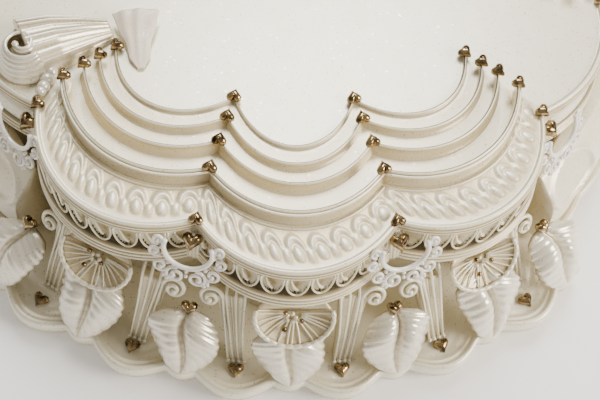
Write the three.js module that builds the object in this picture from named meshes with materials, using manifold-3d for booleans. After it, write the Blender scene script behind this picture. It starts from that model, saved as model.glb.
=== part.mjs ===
// A royal-iced celebration cake: one large tier with a scalloped collar, overpiped linework,
// lace frames and brackets, on an iced base board with a scalloped edge.
// Millimetres, +Z up. The origin is the middle of the flat underside and the front faces -Y.
// A place is given as an angle round the axis (0 at the front, growing towards +X), a radius
// and a height.

import * as THREE from 'three';
import { mergeVertices } from 'three/addons/utils/BufferGeometryUtils.js';
import Module from 'manifold-3d';

const wasm = await Module();
wasm.setup();

// Heights
const TOP_Z = 100;              // flat top of the cake
const BOARD_Z = 13.5;           // floor of the board's dishes, which carries the cake
const BOARD_RIM_Z = 17;         // raised edge of the board
const GAP = 0.3;                // clearance between pieces that touch
const PANELS = 3;               // piped panels round the cake, each of three lobes

// Plan of one panel, in degrees from its middle
const INNER_CUSP = 14.4;
const OUTER_CUSP = 46;
const PANEL_TURN = 360 / PANELS;

// Collar edge: radius at the two kinds of cusp, and how far each lobe bows out past them
const EDGE = { inner: 200, outer: 184.5, front: 22, side: 21.5, plain: 9 };

// Overpiped lines on the top, from the innermost outwards, with the height each is built up to
const LINES = [
  { inner: 125, outer: 130, front: 25.5, side: 18.5, height: 2.6 },
  { inner: 139, outer: 141, front: 23, side: 17, height: 4.8 },
  { inner: 155, outer: 151.5, front: 19.5, side: 16, height: 7 },
  { inner: 172.5, outer: 164.5, front: 18.5, side: 15.5, height: 9.2 },
];
const LINE_FOOT = 1.7;          // half width where a line meets the top

// Collar and wall of the tier, as distances out from the collar edge
const WALL_INSET = 17;
const LEDGE_OUT = 4;
const LEDGE_BOTTOM_Z = 71;
const LEDGE_TOP_Z = 78;
const RAIL_RECESS = 4;          // the wall behind the row of arches
const RIM_RISE = 1.6;           // the piped rim stands this far over the top
const RIM_WIDTH = 3.6;

const SEGMENTS = 9;             // facets of each piped lobe, with an arch and a tongue on each
const PLAIN_SEGMENTS = 5;
const ARCH = { halfWidth: 4.6, out: 1.4, back: 7 };
const ARCH_FOOT = { inset: 4.2, rise: 2.5 };
const ARCH_SHOULDER = { inset: 1.6, drop: 5 };
const TONGUE = { inner: 25, shoulder: 19, outer: 8, halfWidth: 3.6, rise: 1.9 };
const FILLER = { halfWidth: 6.5, back: 5, front: 6, tip: 9 };

// Sugar hearts
const HEART = 3.5;              // half width
const HEART_THICK = 2.3;        // half thickness
const HEART_LIFT = 0.8;         // its middle above the crest it stands on
const HEART_LEAN = 88;          // nearly flat on its back
const BIG_HEART = { scale: 1.25, out: 6.2, drop: 7, lean: 60 };

// Base board: dishes and leaves in turn along each panel
const DISH_PITCH = 13.8;
const DISHES = 6;               // in a panel
const DISH_R = 256;
const BOARD_NOTCH_R = 247;
const LEAF_TIP_R = 250;
const DISH_SHARE = 0.72;        // of the pitch, the rest being the tip of a leaf
const BOARD_HALF = 43.8;        // degrees from a panel's middle to where the board draws in
const PLAIN_BOARD = { r: 223, wave: 2.5, waves: 15, steps: 7 };
const BOARD_HEART = { r: 241, lift: 1.4, lean: 80 };

// Lace frame in front of each cusp
const FRAME = { r: 216, z: 84, lean: 19, outer: 13.4, inner: 9, scallop: 2.6, thick: 2.2, sweep: 285 };

// Brackets: angle of head and foot, and of the volute beside the head
const BRACKETS = [
  { head: 8.4, foot: 7, volute: 11.2 },
  { head: 18.9, foot: 20.4, volute: 16.1 },
  { head: 33.4, foot: 34.6, volute: 36 },
];
const BRACKET_HEAD = { r: 214, z: 67.4, halfWidth: 7.4, depth: 9 };
const BRACKET_FOOT = { r: 235, z: 15.5, halfWidth: 4.9, depth: 5 };
const BRACKET_RIB = 1.6;
const VOLUTE = { r: 218, z: 56.5, radius: 6, thick: 3.4, sides: 6, lean: 35 };
const SIDE_SHIFT = -5;          // pieces under the side lobes stand this much further in

// Leaves below the cusps and below the middles of the lobes
const CUSP_LEAVES = [13.7, 40.6];
const LOBE_LEAVES = [-27.3, 0, 27.3];
const LEAF = { topR: 225, topZ: 51, tipZ: 18.2, halfWidth: 15, thick: 1.8, belly: 6, midrib: 1.5, curl: 2.5 };
const LEAF_HEART = { out: 0.5, lift: 3.5, lean: 45, scale: 1.1 };

// Pleated fan under each lobe's middle
const FAN = { r: 221, z: 60, radius: 20, spread: 105, lean: 42, thick: 1.5, cup: 5, pleats: 6, pleat: 1.6 };
const FAN_SQUASH = 0.8;
// Its head is stuck under the ledge
const FAN_HEAD = { halfWidth: 13, up: 11.2, lift: 2 };

// Smooth cartouche between panels: radii and heights of its section
const CARTOUCHE = { halfSpan: 17.4, steps: 8, back: 199, low: 20, high: 66, dish: 6, swell: 3, wave: 2.2 };
const CARTOUCHE_WAVES = 7;

// Shell-like swag on the top beside one panel, gathered at one end and rolled into a scroll
// at the other: distance along it, reach to its two sides, and height
const SWAG_FROM = { angle: -50.4, r: 120.7 };
const SWAG_TO = { angle: -54.4, r: 171.7 };
const SWAG = [
  { along: 5, left: 7, right: 6.5, height: 7 },
  { along: 18, left: 13, right: 9.5, height: 12 },
  { along: 34, left: 19, right: 13, height: 17 },
  { along: 50, left: 23, right: 15, height: 19 },
];
const SWAG_RIDGES = 6;
const SCROLL = { radius: 16, inner: 5.5, band: 3.6, turns: 1.4, steps: 11, height: 15 };
const NODULE = { angle: -48.3, r: 172.5, halfLength: 9, halfWidth: 4.5, height: 8 };

// Wafer petal leaning against the swag's gathered end: share of its length and half width
const PETAL_FROM = { angle: -49.8, r: 110, lift: 6 };
const PETAL_TO = { angle: -37.6, r: 131.2, lift: 1 };
const PETAL = [[0, 12.5], [0.33, 9.5], [0.55, 6.5], [0.8, 5.5], [1, 1.5]];
const PETAL_CROWN = 3;
const PETAL_THICK = 1.2;

const POINT = new THREE.Vector3();
const deg = THREE.MathUtils.degToRad;

// Finishes: pearl royal icing, the whiter lace icing, and wafer paper
const ICING = { color: 0xe9e3d6, roughness: 0.42, metalness: 0 };
const LACE = { color: 0xe6dfda, roughness: 0.4, metalness: 0 };
const WAFER = { color: 0xe5dbd0, roughness: 0.3, metalness: 0 };

// The point at an angle, a radius and a height
function at(angle, r, z) {
  return new THREE.Vector3(r * Math.sin(deg(angle)), -r * Math.cos(deg(angle)), z);
}

// A geometry from points and triangles, turned the right way out
function solidGeometry(points, index) {
  const geometry = new THREE.BufferGeometry().setFromPoints(points);
  let volume = 0;
  for (let i = 0; i < index.length; i += 3) {
    POINT.crossVectors(points[index[i + 1]], points[index[i + 2]]);
    volume += points[index[i]].dot(POINT);
  }
  geometry.setIndex(volume < 0 ? index.reverse() : index);
  return geometry;
}

// A closed skin through loops with the same number of points, capped at both ends by a fan
function skin(loops) {
  const n = loops[0].length;
  const points = loops.flat();
  const index = [];
  for (let k = 0; k + 1 < loops.length; k++) {
    for (let i = 0; i < n; i++) {
      const a = k * n + i;
      const b = k * n + (i + 1) % n;
      index.push(a, b, b + n, a, b + n, a + n);
    }
  }
  for (const k of [0, loops.length - 1]) {
    const centre = new THREE.Vector3();
    loops[k].forEach((p) => centre.addScaledVector(p, 1 / n));
    const c = points.push(centre) - 1;
    for (let i = 0; i < n; i++) {
      const pair = [k * n + i, k * n + (i + 1) % n];
      index.push(c, ...(k === 0 ? pair.reverse() : pair));
    }
  }
  return solidGeometry(points, index);
}

// A low peaked bump over a flat outline, sunk a little at its back
function bump(outline, peak, back) {
  const n = outline.length;
  const points = [...outline, peak, back];
  const index = [];
  for (let i = 0; i < n; i++) {
    const j = (i + 1) % n;
    index.push(i, j, n, j, i, n + 1);
  }
  return solidGeometry(points, index);
}

function toManifold(geometry) {
  const bare = geometry.clone();
  bare.deleteAttribute('normal');
  bare.deleteAttribute('uv');
  const merged = mergeVertices(bare, 1e-4);
  return new wasm.Manifold(new wasm.Mesh({
    numProp: 3,
    vertProperties: new Float32Array(merged.attributes.position.array),
    triVerts: new Uint32Array(merged.index.array),
  }));
}

// One body joined from several, with any pocket sealed inside it filled
function fuse(geometries) {
  const [first, ...rest] = geometries.map(toManifold);
  const whole = rest.reduce((sum, piece) => sum.add(piece), first);
  const shells = whole.decompose().sort((a, b) => b.volume() - a.volume());
  const mesh = shells[0].getMesh();
  const geometry = new THREE.BufferGeometry();
  geometry.setAttribute('position', new THREE.BufferAttribute(new Float32Array(mesh.vertProperties), 3));
  geometry.setIndex(new THREE.BufferAttribute(new Uint32Array(mesh.triVerts), 1));
  return geometry;
}

// The lobes round the whole cake, each with the radii that row of scallops has at its ends
const lobes = [];
for (let panel = 0; panel < PANELS; panel++) {
  const middle = panel * PANEL_TURN;
  const cusps = [-OUTER_CUSP, -INNER_CUSP, INNER_CUSP, OUTER_CUSP, PANEL_TURN - OUTER_CUSP];
  const kinds = ['side', 'front', 'side', 'plain'];
  const ends = ['outer', 'inner', 'inner', 'outer', 'outer'];
  kinds.forEach((kind, i) => {
    lobes.push({ kind, from: middle + cusps[i], to: middle + cusps[i + 1], ends: [ends[i], ends[i + 1]] });
  });
}

// Radius of a row of scallops inside a lobe, with t from -1 at one cusp to 1 at the next
function lobeRadius(row, lobe, t) {
  const base = THREE.MathUtils.lerp(row[lobe.ends[0]], row[lobe.ends[1]], (t + 1) / 2);
  return base + row[lobe.kind] * (1 - t * t);
}

function lobeAngle(lobe, t) {
  return THREE.MathUtils.lerp(lobe.from, lobe.to, (t + 1) / 2);
}

// Matrix that seats a piece: local X along the rim, Y up the slope and Z out of it
function seat(angle, r, z, lean = 0, turn = 0) {
  const out = at(angle, 1, 0);
  const along = new THREE.Vector3(Math.cos(deg(angle)), Math.sin(deg(angle)), 0);
  const normal = out.clone().multiplyScalar(Math.cos(deg(lean))).setZ(Math.sin(deg(lean)));
  const slope = new THREE.Vector3().crossVectors(normal, along);
  return new THREE.Matrix4().makeBasis(along, slope, normal).setPosition(at(angle, r, z))
    .multiply(new THREE.Matrix4().makeRotationZ(deg(turn)));
}

// A plump sugar heart, its point towards local -Y
function heart(matrix, scale = 1) {
  const half = [[0, 0.5], [0.6, 0.95], [1, 0.2], [0, -1.05]];
  const outline = [...half, ...half.slice(1, -1).reverse().map(([x, y]) => [-x, y])];
  const points = outline.map(([x, y]) => new THREE.Vector3(x * HEART, y * HEART, 0));
  const front = new THREE.Vector3(0, 0.1 * HEART, HEART_THICK);
  const back = front.clone().setZ(-HEART_THICK);
  return bump(points, front, back).scale(scale, scale, scale).applyMatrix4(matrix);
}

// The tier: wall, ledges, recessed rail and rim, all following the scalloped edge
function tierBody() {
  const samples = (lobe) => {
    const count = lobe.kind === 'plain' ? PLAIN_SEGMENTS : SEGMENTS;
    return Array.from({ length: count }, (_, k) => 2 * k / count - 1);
  };
  const profile = [
    [-WALL_INSET, BOARD_Z + GAP],
    [-WALL_INSET, LEDGE_BOTTOM_Z - 3],
    [LEDGE_OUT - 2, LEDGE_BOTTOM_Z],
    [LEDGE_OUT, LEDGE_TOP_Z],
    [-RAIL_RECESS, LEDGE_TOP_Z + 1.5],
    [0, TOP_Z - 3],
    [-RIM_WIDTH / 3, TOP_Z + RIM_RISE],
    [-RIM_WIDTH, TOP_Z],
  ];
  return skin(profile.map(([out, z]) => lobes.flatMap((lobe) => samples(lobe).map((t) => (
    at(lobeAngle(lobe, t), lobeRadius(EDGE, lobe, t) + out, z)
  )))));
}

// One overpiped line along a lobe, from a wide foot up to its crest
function pipedLine(lobe, line) {
  const steps = [-1, -0.5, 0, 0.5, 1];
  const section = [
    [-LINE_FOOT, -0.5],
    [LINE_FOOT, -0.5],
    [0, line.height],
  ];
  return skin(steps.map((t) => section.map(([out, up]) => (
    at(lobeAngle(lobe, t), lobeRadius(line, lobe, t) + out, TOP_Z + up)
  ))));
}

// A pressed tongue on the band inside the rim, its round end towards the middle of the cake
function tongue(lobe, t) {
  const angle = lobeAngle(lobe, t);
  const edge = lobeRadius(EDGE, lobe, t);
  const side = THREE.MathUtils.radToDeg(TONGUE.halfWidth / edge);
  const outline = [[0, TONGUE.inner], [side, TONGUE.shoulder], [0, TONGUE.outer], [-side, TONGUE.shoulder]];
  const points = outline.map(([turn, inset]) => at(angle + turn, edge - inset, TOP_Z - 0.2));
  const middle = edge - (TONGUE.inner + TONGUE.outer) / 2;
  return bump(points, at(angle, middle, TOP_Z + TONGUE.rise), at(angle, middle, TOP_Z - 1));
}

// A cupped arch standing in the rail below the rim, its point on the ledge
function arch(lobe, t) {
  const angle = lobeAngle(lobe, t);
  const edge = lobeRadius(EDGE, lobe, t);
  const side = THREE.MathUtils.radToDeg(ARCH.halfWidth / edge);
  const foot = at(angle, edge - ARCH_FOOT.inset, LEDGE_TOP_Z + ARCH_FOOT.rise);
  const shoulders = [side, -side].map((turn) => (
    at(angle + turn, edge - ARCH_SHOULDER.inset, TOP_Z - ARCH_SHOULDER.drop)
  ));
  const middle = (LEDGE_TOP_Z + TOP_Z) / 2 + 1;
  const back = at(angle, edge - ARCH.back, middle);
  return bump([foot, ...shoulders], at(angle, edge + ARCH.out, middle), back);
}

// The tapering filler in the notch of a cusp, which carries the larger heart
function cuspFiller(angle, r) {
  const matrix = seat(angle, r, 0);
  const place = (x, out, z) => new THREE.Vector3(x, z, out).applyMatrix4(matrix);
  const head = [[-FILLER.halfWidth, -FILLER.back], [FILLER.halfWidth, -FILLER.back], [0, FILLER.front]];
  const outline = head.map(([x, out]) => place(x, out, TOP_Z - 3));
  return bump(outline, place(0, -2, TOP_Z - 1), place(0, FILLER.tip, LEDGE_BOTTOM_Z));
}

function cakeTier() {
  const pieces = [tierBody()];
  for (const lobe of lobes) {
    if (lobe.kind === 'plain') continue;
    for (const line of LINES) {
      pieces.push(pipedLine(lobe, line));
    }
    for (let k = 0; k < SEGMENTS; k++) {
      const t = (2 * k + 1) / SEGMENTS - 1;
      pieces.push(tongue(lobe, t), arch(lobe, t));
    }
  }
  // hearts where the lines meet, on the collar's cusps and below them
  for (const lobe of lobes) {
    const end = lobe.ends[0];
    const angle = lobe.from;
    const turn = end === 'inner' ? 180 : 0;
    for (const line of LINES) {
      pieces.push(heart(seat(angle, line[end], TOP_Z + line.height + HEART_LIFT, HEART_LEAN, turn)));
    }
    const rimZ = TOP_Z + RIM_RISE + HEART_LIFT;
    pieces.push(heart(seat(angle, EDGE[end] - RIM_WIDTH / 2, rimZ, HEART_LEAN, turn)));
    pieces.push(cuspFiller(angle, EDGE[end]));
    const big = seat(angle, EDGE[end] + BIG_HEART.out, TOP_Z - BIG_HEART.drop, BIG_HEART.lean);
    pieces.push(heart(big, BIG_HEART.scale));
  }
  return fuse(pieces);
}

// Outline radius of the board at an angle from the middle of a panel
function boardRadius(angle) {
  if (Math.abs(angle) > BOARD_HALF) {
    const wave = Math.abs(Math.cos(deg(PANEL_TURN / 2 - angle) * PLAIN_BOARD.waves));
    return PLAIN_BOARD.r + PLAIN_BOARD.wave * wave;
  }
  const cell = angle / DISH_PITCH + DISHES / 2;
  const s = Math.abs((cell - Math.floor(cell)) * 2 - 1);
  if (s < DISH_SHARE) {
    return BOARD_NOTCH_R + (DISH_R - BOARD_NOTCH_R) * Math.cos(s / DISH_SHARE * Math.PI / 2);
  }
  const u = (1 - s) / (1 - DISH_SHARE);
  return BOARD_NOTCH_R + (LEAF_TIP_R - BOARD_NOTCH_R) * Math.cos(u * Math.PI / 2);
}

// The board: a slab with a raised edge round each dish, and a heart in each
function baseBoard() {
  const half = DISH_PITCH * DISHES / 2;
  const cell = [0, 0.14, 0.35, 0.65, 0.86];
  const angles = [];
  const radii = [];
  for (let panel = 0; panel < PANELS; panel++) {
    const add = (a) => {
      angles.push(a + panel * PANEL_TURN);
      radii.push(boardRadius(a));
    };
    for (let dish = 0; dish < DISHES; dish++) {
      cell.forEach((s) => add((dish + s) * DISH_PITCH - half));
    }
    add(half);
    add(BOARD_HALF);
    for (let k = 0; k <= PLAIN_BOARD.steps; k++) {
      add(BOARD_HALF + 0.5 + (PANEL_TURN - 2 * BOARD_HALF - 1) * k / PLAIN_BOARD.steps);
    }
    add(PANEL_TURN - BOARD_HALF);
  }
  const rows = [[-7, 0], [0, 7], [-2.4, BOARD_RIM_Z], [-8, BOARD_Z]];
  const pieces = [skin(rows.map(([out, z]) => angles.map((a, i) => at(a, radii[i] + out, z))))];
  for (let panel = 0; panel < PANELS; panel++) {
    for (let dish = 0; dish < DISHES; dish++) {
      const angle = panel * PANEL_TURN + (dish + 0.5) * DISH_PITCH - half;
      pieces.push(heart(seat(angle, BOARD_HEART.r, BOARD_Z + BOARD_HEART.lift, BOARD_HEART.lean)));
    }
  }
  return fuse(pieces);
}

// A lace frame: an open ring of scroll-work with a scalloped outer edge, open at the top
function laceFrame(angle, r) {
  const outerSteps = 10;
  const innerSteps = 5;
  const polar = (radius, turn) => new THREE.Vector2(0, -radius).rotateAround(new THREE.Vector2(), deg(turn));
  const outline = [];
  for (let k = 0; k <= outerSteps; k++) {
    const turn = (k / outerSteps - 0.5) * FRAME.sweep;
    outline.push(polar(FRAME.outer + (k % 2 ? FRAME.scallop : 0), turn));
  }
  for (let k = innerSteps; k >= 0; k--) {
    outline.push(polar(FRAME.inner, (k / innerSteps - 0.5) * FRAME.sweep));
  }
  const shape = new THREE.Shape(outline);
  const plate = new THREE.ExtrudeGeometry(shape, { depth: FRAME.thick, bevelEnabled: false });
  return plate.applyMatrix4(seat(angle, r, FRAME.z, FRAME.lean));
}

// A bracket: three ribs tapering from a head under the collar to a foot on the board,
// with a volute curled at one side of the head
function bracket(headAngle, footAngle, voluteAngle, edgeShift) {
  const ribs = [-1, -0.72, -0.36, 0, 0.36, 0.72, 1].map((x, i) => [x, i % 2 ? BRACKET_RIB : 0]);
  const ends = [
    { ...BRACKET_HEAD, r: BRACKET_HEAD.r + edgeShift, angle: headAngle },
    { ...BRACKET_FOOT, angle: footAngle },
  ];
  const loops = ends.map(({ angle, r, z, halfWidth, depth }) => {
    const front = ribs.map(([x, out]) => new THREE.Vector3(x * halfWidth, 0, out));
    const back = [new THREE.Vector3(halfWidth, 0, -depth), new THREE.Vector3(-halfWidth, 0, -depth)];
    return [...front, ...back].map((p) => p.applyMatrix4(seat(angle, r, z)));
  });
  const curl = [];
  for (let k = 0; k < VOLUTE.sides; k++) {
    const turn = 2 * Math.PI * k / VOLUTE.sides;
    curl.push(new THREE.Vector3(Math.cos(turn), Math.sin(turn), 0).multiplyScalar(VOLUTE.radius));
  }
  const volute = bump(curl, new THREE.Vector3(0, 0, VOLUTE.thick), new THREE.Vector3(0, 0, -VOLUTE.thick));
  volute.applyMatrix4(seat(voluteAngle, VOLUTE.r + edgeShift, VOLUTE.z, VOLUTE.lean));
  return fuse([skin(loops), volute]);
}

// A thin leaf with a sunk midrib, from its stalk under the collar to its tip on the board
function leafSkin(topAngle, tipAngle, topR, topZ) {
  const stations = [[0, 0.3], [0.3, 0.95], [0.7, 0.9], [1, 0.2]];
  const face = (lift) => stations.map(([s, width]) => [-1, 0, 1].map((x) => {
    const r = THREE.MathUtils.lerp(topR, LEAF_TIP_R, s);
    const belly = LEAF.belly * Math.sin(Math.PI * s) + lift;
    const edge = Math.abs(x) * width * ((s < 1 ? LEAF.curl : 0) - LEAF.midrib);
    const z = THREE.MathUtils.lerp(topZ, LEAF.tipZ, s) + belly + edge;
    const matrix = seat(THREE.MathUtils.lerp(topAngle, tipAngle, s), r, z);
    return new THREE.Vector3(x * width * LEAF.halfWidth, 0, 0).applyMatrix4(matrix);
  }));
  const top = face(LEAF.thick);
  const under = face(0);
  return skin(top.map((row, k) => [...row, ...under[k].reverse()]));
}

// A heart between two volutes, with the leaf that hangs from it
function cuspLeaf(heartAngle, leafAngle, edgeShift) {
  const topR = LEAF.topR + edgeShift;
  const leaf = leafSkin(heartAngle, leafAngle, topR, LEAF.topZ);
  const matrix = seat(heartAngle, topR + LEAF_HEART.out, LEAF.topZ + LEAF_HEART.lift, LEAF_HEART.lean);
  return fuse([leaf, heart(matrix, LEAF_HEART.scale)]);
}

// A pleated fan over the head of a leaf, below the middle of a lobe
function fanLeaf(angle, edgeShift) {
  const matrix = seat(angle, FAN.r + edgeShift, FAN.z, FAN.lean);
  const rim = [];
  for (let k = 0; k <= FAN.pleats; k++) {
    const turn = deg((k / FAN.pleats - 0.5) * 2 * FAN.spread);
    const pleat = k % 2 ? FAN.pleat : 0;
    rim.push(new THREE.Vector3(
      (FAN.radius + pleat) * Math.sin(turn),
      -(FAN.radius + pleat) * Math.cos(turn) * FAN_SQUASH,
      FAN.cup + pleat,
    ));
  }
  rim.push(new THREE.Vector3(FAN_HEAD.halfWidth, FAN_HEAD.up, FAN_HEAD.lift));
  rim.push(new THREE.Vector3(-FAN_HEAD.halfWidth, FAN_HEAD.up, FAN_HEAD.lift));
  const front = new THREE.Vector3(0, 0, FAN.thick);
  const back = new THREE.Vector3(0, 0, -FAN.thick);
  const fan = bump(rim, front, back).applyMatrix4(matrix);
  const leaf = leafSkin(angle, angle, FAN.r + edgeShift + 8, FAN.z - 5);
  return fuse([fan, leaf]);
}

// The smooth cartouche between panels: two shallow dishes side by side over a wavy skirt
function cartouche(middle) {
  const { back, low, high } = CARTOUCHE;
  const loops = [];
  for (let k = 0; k <= CARTOUCHE.steps; k++) {
    const u = k / CARTOUCHE.steps * 2 - 1;
    const dish = CARTOUCHE.dish * Math.sin(Math.PI * u) ** 2;
    const swell = CARTOUCHE.swell * u * u;
    const wave = CARTOUCHE.wave * Math.cos(u * CARTOUCHE_WAVES * Math.PI);
    loops.push([
      [back, low],
      [back, high],
      [back + 4 + swell, high + 3],
      [back + 17 - dish, high - 4],
      [back + 22 + swell / 2, high - 20],
      [back + 16 + wave, high - 26],
      [back + 18 + wave, low],
    ].map(([r, z]) => at(middle + u * CARTOUCHE.halfSpan, r, z)));
  }
  return skin(loops);
}

// The scroll's ribbon seen from above: a spiral band rolled round an upright axis
function ribbonShape() {
  const spiral = (shift) => {
    const points = [];
    for (let k = 0; k <= SCROLL.steps; k++) {
      const share = k / SCROLL.steps;
      const turn = 2 * Math.PI * SCROLL.turns * share;
      const radius = THREE.MathUtils.lerp(SCROLL.radius, SCROLL.inner, share) - shift;
      points.push(new THREE.Vector2(radius * Math.cos(turn), radius * Math.sin(turn)));
    }
    return points;
  };
  return new THREE.Shape([...spiral(0), ...spiral(SCROLL.band).reverse()]);
}

// The pleated swag, the scroll at its wide end and the nodule below the scroll, in one
function swag() {
  const start = at(SWAG_FROM.angle, SWAG_FROM.r, TOP_Z + GAP);
  const end = at(SWAG_TO.angle, SWAG_TO.r, TOP_Z + GAP);
  const along = end.clone().sub(start).normalize();
  const across = new THREE.Vector3(-along.y, along.x, 0);
  const body = skin(SWAG.map((row) => {
    const loop = [];
    for (let k = 0; k <= SWAG_RIDGES; k++) {
      const turn = Math.PI * k / SWAG_RIDGES;
      const ridge = k % 2 ? 0.9 : 1;
      const side = THREE.MathUtils.lerp(row.right, -row.left, (1 - Math.cos(turn)) / 2);
      loop.push(start.clone().addScaledVector(along, row.along).addScaledVector(across, side)
        .setZ(TOP_Z + GAP + row.height * ridge * Math.sin(turn)));
    }
    return loop;
  }));
  const ribbon = new THREE.ExtrudeGeometry(ribbonShape(), { depth: SCROLL.height, bevelEnabled: false });
  ribbon.applyMatrix4(new THREE.Matrix4().setPosition(end));
  const toNodule = at(NODULE.angle, NODULE.r, TOP_Z + GAP).sub(end).normalize();
  const beside = new THREE.Vector3(-toNodule.y, toNodule.x, 0);
  const centre = at(NODULE.angle, NODULE.r, TOP_Z + GAP);
  const outline = [0, 1, 2, 3, 4, 5].map((k) => centre.clone()
    .addScaledVector(toNodule, NODULE.halfLength * Math.cos(Math.PI * k / 3))
    .addScaledVector(beside, NODULE.halfWidth * Math.sin(Math.PI * k / 3)));
  const peak = centre.clone().setZ(TOP_Z + NODULE.height);
  return fuse([body, ribbon, bump(outline, peak, centre)]);
}

// A thin petal with a raised crown, tapering to a tip on the icing
function waferPetal() {
  const from = at(PETAL_FROM.angle, PETAL_FROM.r, TOP_Z + PETAL_FROM.lift);
  const to = at(PETAL_TO.angle, PETAL_TO.r, TOP_Z + PETAL_TO.lift);
  const along = to.clone().sub(from);
  const across = new THREE.Vector3(-along.y, along.x, 0).normalize();
  const loops = PETAL.map(([s, halfWidth]) => {
    const row = (lift) => [-1, 0, 1].map((x) => (
      from.clone().addScaledVector(along, s).addScaledVector(across, x * halfWidth)
        .add(new THREE.Vector3(0, 0, lift + (x === 0 ? PETAL_CROWN : 0) * (1 - s)))
    ));
    return [...row(PETAL_THICK), ...row(0).reverse()];
  });
  return skin(loops);
}

const cake = new THREE.Group();

function addPiece(name, geometry, finish) {
  const mesh = new THREE.Mesh(geometry, new THREE.MeshStandardMaterial(finish));
  mesh.name = name;
  cake.add(mesh);
}

addPiece('cake_tier', cakeTier(), ICING);
addPiece('base_board', baseBoard(), ICING);

lobes.forEach((lobe, i) => {
  const shift = EDGE[lobe.ends[0]] - EDGE.inner;
  addPiece(`lace_frame_${i + 1}`, laceFrame(lobe.from, FRAME.r + shift), LACE);
});

let bracketCount = 0;
let cuspLeafCount = 0;
let fanCount = 0;
for (let panel = 0; panel < PANELS; panel++) {
  const middle = panel * PANEL_TURN;
  for (const side of [-1, 1]) {
    BRACKETS.forEach(({ head, foot, volute }, k) => {
      const shift = k === 2 ? SIDE_SHIFT : 0;
      const angles = [head, foot, volute].map((a) => middle + side * a);
      addPiece(`bracket_${++bracketCount}`, bracket(...angles, shift), ICING);
    });
    CUSP_LEAVES.forEach((angle, k) => {
      const shift = k ? SIDE_SHIFT : 0;
      const heartAngle = middle + side * (k ? angle - 1.6 : angle);
      addPiece(`heart_leaf_${++cuspLeafCount}`, cuspLeaf(heartAngle, middle + side * angle, shift), ICING);
    });
  }
  for (const angle of LOBE_LEAVES) {
    addPiece(`fan_leaf_${++fanCount}`, fanLeaf(middle + angle, angle ? SIDE_SHIFT : 3), ICING);
  }
  addPiece(`cartouche_${panel + 1}`, cartouche(middle + PANEL_TURN / 2), ICING);
}

addPiece('top_scroll', swag(), ICING);
addPiece('wafer_petal', waferPetal(), WAFER);

export default cake;
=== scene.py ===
import math

import bpy
import numpy as np
from mathutils import Matrix


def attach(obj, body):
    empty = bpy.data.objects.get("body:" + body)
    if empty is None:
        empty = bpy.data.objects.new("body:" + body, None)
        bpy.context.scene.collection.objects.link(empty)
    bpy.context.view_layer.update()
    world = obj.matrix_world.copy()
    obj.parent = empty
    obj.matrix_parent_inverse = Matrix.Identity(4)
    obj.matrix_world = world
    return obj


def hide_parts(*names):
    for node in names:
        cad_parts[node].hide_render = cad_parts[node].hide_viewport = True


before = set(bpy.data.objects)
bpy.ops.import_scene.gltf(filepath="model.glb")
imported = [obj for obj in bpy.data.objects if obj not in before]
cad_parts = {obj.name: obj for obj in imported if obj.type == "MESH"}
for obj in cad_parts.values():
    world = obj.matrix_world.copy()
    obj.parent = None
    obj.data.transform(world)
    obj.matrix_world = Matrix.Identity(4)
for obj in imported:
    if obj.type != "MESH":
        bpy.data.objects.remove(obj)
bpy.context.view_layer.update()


# The base board, coated in royal icing, its edge run out with a comb into a scallop for each
# shallow dish. Between the piped panels it draws in, and its edge is pinched into small waves.
# Royal icing is icing sugar and egg white: off-white, satin, with a pearl lustre dusted on.

MM = 0.001
PANELS = 3
PANEL_TURN = 360 // PANELS
DISH_PITCH = 13.8
DISHES = 6
DISH_R = 256
NOTCH_R = 247
LEAF_TIP_R = 250
DISH_SHARE = 0.72
BOARD_HALF = 43.8
PLAIN_BOARD_R = 223
PLAIN_WAVE = 2.5
BOARD_Z = 13.5

PEARL_WHITE = "#F5F0DA"
# the sunk cream is painted shade and also the faint clouds' real tone; the crevice colour is painted deep shade
SHADE_AND_CLOUD_CREAM = "#D8C699"
CREVICE_SHADE = "#5E5540"
SPECK = "#8A7E6A"
GRAIN_MM = 0.65          # coarser than the real grain, so that it shows
SPECK_MM = 0.9
LUMP_MM = 14


def xyz(x, y, z):
    """Points from arrays of their coordinates, stretched to one shape."""
    return np.stack(np.broadcast_arrays(x, y, z), -1)


def at(angle, r, z):
    """Points at an angle in degrees from the front, a radius and a height in mm: (r sin, -r cos, z)."""
    turn = np.radians(angle)
    return xyz(r * np.sin(turn), -r * np.cos(turn), z)


def sheet(points, wrap=False, caps=True, painted_shade=0.0):
    """A grid of points woven into quads, point (i, j) with (i+1, j), (i+1, j+1) and (i, j+1), turned so that
    the volume it encloses, the sum of its corners' triple products, is positive. wrap joins the last column
    to the first, and caps fill the first and last rows. The last argument gives each point its painted
    shade, as in creases and on sides turned from the light."""
    nu, nv = points.shape[:2]
    index = np.arange(nu * nv).reshape(nu, nv)
    ends = [index[0].tolist(), index[-1][::-1].tolist()] if caps else []
    if wrap:
        index = np.concatenate([index, index[:, :1]], axis=1)
    quads = np.stack([index[:-1, :-1], index[1:, :-1], index[1:, 1:], index[:-1, 1:]], axis=-1).reshape(-1, 4)
    flat = points.reshape(-1, 3)
    centred = flat - flat.mean(axis=0)
    a, b, c, d = (centred[quads[:, k]] for k in range(4))
    volume = np.einsum("ij,ij->", a, np.cross(b, c)) + np.einsum("ij,ij->", a, np.cross(c, d))
    for cap in ends:
        rim = centred[cap]
        volume += np.einsum("ij,ij->", np.cross(rim[1:-1], rim[2:]), np.broadcast_to(rim[0], rim[2:].shape))
    if volume < 0:
        quads = quads[:, ::-1]
        ends = [cap[::-1] for cap in ends]
    return flat, quads, ends, np.broadcast_to(painted_shade, (nu, nv)).reshape(-1)


def slab(face, back, shade, dark):
    """A face, with painted shade by its shade, and a back of one darker painted shade, woven the other way
    across, as one sheet.
    """
    tints = [np.broadcast_to(shade, face.shape[:2]), np.full(back.shape[:2], dark)]
    return sheet(np.concatenate([face, back[:, ::-1]], axis=1), wrap=True, painted_shade=np.concatenate(tints, axis=1))


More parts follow.
